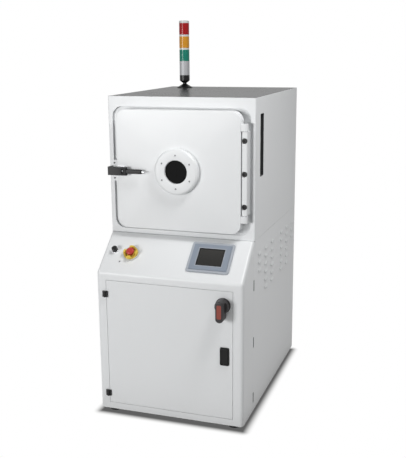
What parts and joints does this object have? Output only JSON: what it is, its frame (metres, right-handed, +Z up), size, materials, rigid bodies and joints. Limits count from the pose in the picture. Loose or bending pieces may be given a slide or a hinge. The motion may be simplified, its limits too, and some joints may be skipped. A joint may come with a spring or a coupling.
{
  "type": "plasma cleaner",
  "caption": "Floor-standing vacuum plasma cleaner: upper chamber with hinged viewport door, sloped control console, lower service door, louvred side panels and a tower light.",
  "frame": {"origin": "on the floor, under the centre of the machine's bounding box", "axes": "+Z up, front (doors and console) faces -Y, +X to the right seen from the front"},
  "size_m": [0.72, 1.139, 1.8473],
  "materials": {
    "base_pan": "satin powder coat",
    "button_contact_blocks": "moulded matt",
    "cabinet_frame": "satin powder coat",
    "cabinet_hinge_halves": "moulded matt",
    "control_module": "moulded matt",
    "disconnect_handle": "moulded matt",
    "disconnect_insert": "moulded matt",
    "disconnect_plate": "moulded matt",
    "disconnect_shaft": "fine brushed",
    "disconnect_switch": "moulded matt",
    "door_cover": "satin powder coat",
    "door_hinge_ears": "satin powder coat",
    "door_hinge_halves": "moulded matt",
    "door_plate": "bead blasted",
    "door_seal": "matt",
    "electrode_rails": "moulded matt",
    "estop_base_ring": "moulded matt",
    "estop_button": "moulded gloss",
    "estop_guard": "moulded matt",
    "fan_frame": "moulded matt",
    "fan_rotor": "moulded matt",
    "front_bezel": "satin powder coat",
    "gas_panel": "fine brushed",
    "hinge_block": "satin powder coat",
    "hinge_pins": "fine brushed",
    "latch_base": "fine brushed",
    "latch_claw": "moulded matt",
    "latch_keeper": "satin powder coat",
    "latch_lever": "moulded matt",
    "levelling_feet": "moulded matt",
    "lower_door": "satin powder coat",
    "matching_network": "bead blasted",
    "paddle": "satin powder coat",
    "paddle_bolt": "fine brushed",
    "paddle_housing": "satin powder coat",
    "power_button": "moulded matt",
    "power_button_bezel": "polished",
    "rear_panels": "satin powder coat",
    "rf_generator": "satin powder coat",
    "shelf_electrodes": "bead blasted",
    "side_panel_lower_left": "satin powder coat",
    "side_panel_lower_right": "satin powder coat",
    "side_panel_upper_left": "satin powder coat",
    "side_panel_upper_right": "satin powder coat",
    "side_pull_pockets": "moulded matt",
    "top_panel": "satin powder coat",
    "touchscreen_bezel": "moulded matt",
    "touchscreen_glass": "clear",
    "tower_base": "moulded matt",
    "tower_body": "bead blasted",
    "tower_lens_amber": "clear",
    "tower_lens_green": "clear",
    "tower_lens_red": "clear",
    "tower_rings": "moulded matt",
    "upper_front_panel": "satin powder coat",
    "vacuum_chamber": "bead blasted",
    "vacuum_line": "fine brushed",
    "vacuum_valve": "satin powder coat",
    "viewport_flange": "satin powder coat",
    "viewport_glass": "clear"
  },
  "bodies": {
    "cabinet": {"base_pan": "base_pan", "button_contact_blocks": "button_contact_blocks", "cabinet_frame": "cabinet_frame", "cabinet_hinge_halves": "cabinet_hinge_halves", "control_module": "control_module", "disconnect_switch": "disconnect_switch", "door_seal": "door_seal", "electrode_rails": "electrode_rails", "estop_base_ring": "estop_base_ring", "estop_guard": "estop_guard", "fan_frame": "fan_frame", "front_bezel": "front_bezel", "gas_panel": "gas_panel", "hinge_block": "hinge_block", "hinge_pins": "hinge_pins", "latch_keeper": "latch_keeper", "levelling_feet": "levelling_feet", "matching_network": "matching_network", "power_button_bezel": "power_button_bezel", "rear_panels": "rear_panels", "rf_generator": "rf_generator", "shelf_electrodes": "shelf_electrodes", "side_panel_lower_left": "side_panel_lower_left", "side_panel_lower_right": "side_panel_lower_right", "side_panel_upper_left": "side_panel_upper_left", "side_panel_upper_right": "side_panel_upper_right", "side_pull_pockets": "side_pull_pockets", "top_panel": "top_panel", "touchscreen_bezel": "touchscreen_bezel", "touchscreen_glass": "touchscreen_glass", "tower_base": "tower_base", "tower_body": "tower_body", "tower_lens_amber": "tower_lens_amber", "tower_lens_green": "tower_lens_green", "tower_lens_red": "tower_lens_red", "tower_rings": "tower_rings", "upper_front_panel": "upper_front_panel", "vacuum_chamber": "vacuum_chamber", "vacuum_line": "vacuum_line", "vacuum_valve": "vacuum_valve"},
    "chamber_door": {"door_cover": "door_cover", "door_plate": "door_plate", "door_hinge_ears": "door_hinge_ears", "viewport_flange": "viewport_flange", "viewport_glass": "viewport_glass", "latch_base": "latch_base"},
    "latch_lever": {"latch_lever": "latch_lever"},
    "latch_claw": {"latch_claw": "latch_claw"},
    "lower_door": {"lower_door": "lower_door", "door_hinge_halves": "door_hinge_halves", "disconnect_plate": "disconnect_plate", "paddle_housing": "paddle_housing"},
    "paddle": {"paddle": "paddle"},
    "paddle_bolt": {"paddle_bolt": "paddle_bolt"},
    "disconnect_handle": {"disconnect_handle": "disconnect_handle", "disconnect_insert": "disconnect_insert"},
    "disconnect_shaft": {"disconnect_shaft": "disconnect_shaft"},
    "power_button": {"power_button": "power_button"},
    "estop_button": {"estop_button": "estop_button"},
    "fan_rotor": {"fan_rotor": "fan_rotor"}
  },
  "joints": [
    {"name": "chamber_door_swing", "type": "hinge", "parent": "cabinet", "child": "chamber_door", "pos_m": [0.3155, -0.3435, 1.162], "axis": [0, 0, 1], "range_deg": [0, 120]},
    {"name": "latch_lever_swing", "type": "hinge", "parent": "chamber_door", "child": "latch_lever", "pos_m": [-0.262, -0.3755, 1.156], "axis": [0, 0, -1], "range_deg": [0, 100]},
    {"name": "latch_claw_swing", "type": "hinge", "parent": "latch_lever", "child": "latch_claw", "pos_m": [-0.248, -0.3795, 1.156], "axis": [0, 0, -1], "range_deg": [-110, 0]},
    {"name": "lower_door_swing", "type": "hinge", "parent": "cabinet", "child": "lower_door", "pos_m": [-0.311, -0.5115, 0.35], "axis": [0, 0, -1], "range_deg": [0, 120]},
    {"name": "paddle_pull", "type": "hinge", "parent": "lower_door", "child": "paddle", "pos_m": [0.2685, -0.5075, 0.391], "axis": [-1, 0, 0], "range_deg": [0, 35], "stiffness_Nm_per_rad": 0.1, "springref_deg": -5.73},
    {"name": "paddle_bolt_slide", "type": "slide", "parent": "lower_door", "child": "paddle_bolt", "axis": [1, 0, 0], "range_m": [-0.0105, 0]},
    {"name": "disconnect_turn", "type": "hinge", "parent": "lower_door", "child": "disconnect_handle", "pos_m": [0.262, -0.5115, 0.598], "axis": [0, 1, 0], "range_deg": [0, 90]},
    {"name": "disconnect_shaft_turn", "type": "hinge", "parent": "cabinet", "child": "disconnect_shaft", "pos_m": [0.262, -0.4345, 0.598], "axis": [0, 1, 0], "range_deg": [0, 90]},
    {"name": "power_button_press", "type": "slide", "parent": "cabinet", "child": "power_button", "axis": [0, 0.6469, -0.7626], "range_m": [0, 0.004], "stiffness_N_per_m": 300, "springref_m": -0.002},
    {"name": "estop_press", "type": "slide", "parent": "cabinet", "child": "estop_button", "axis": [0, 0.6469, -0.7626], "range_m": [0, 0.005]},
    {"name": "fan_spin", "type": "hinge", "parent": "cabinet", "child": "fan_rotor", "pos_m": [-0.18, 0.5135, 0.242], "axis": [0, 1, 0], "continuous": true}
  ],
  "couplings": [
    {"joint": "latch_claw_swing", "follows": "latch_lever_swing", "ratio": -1.1},
    {"joint": "paddle_bolt_slide", "follows": "paddle_pull", "m_per_rad": -0.01637},
    {"joint": "disconnect_shaft_turn", "follows": "disconnect_turn", "ratio": 1}
  ]
}
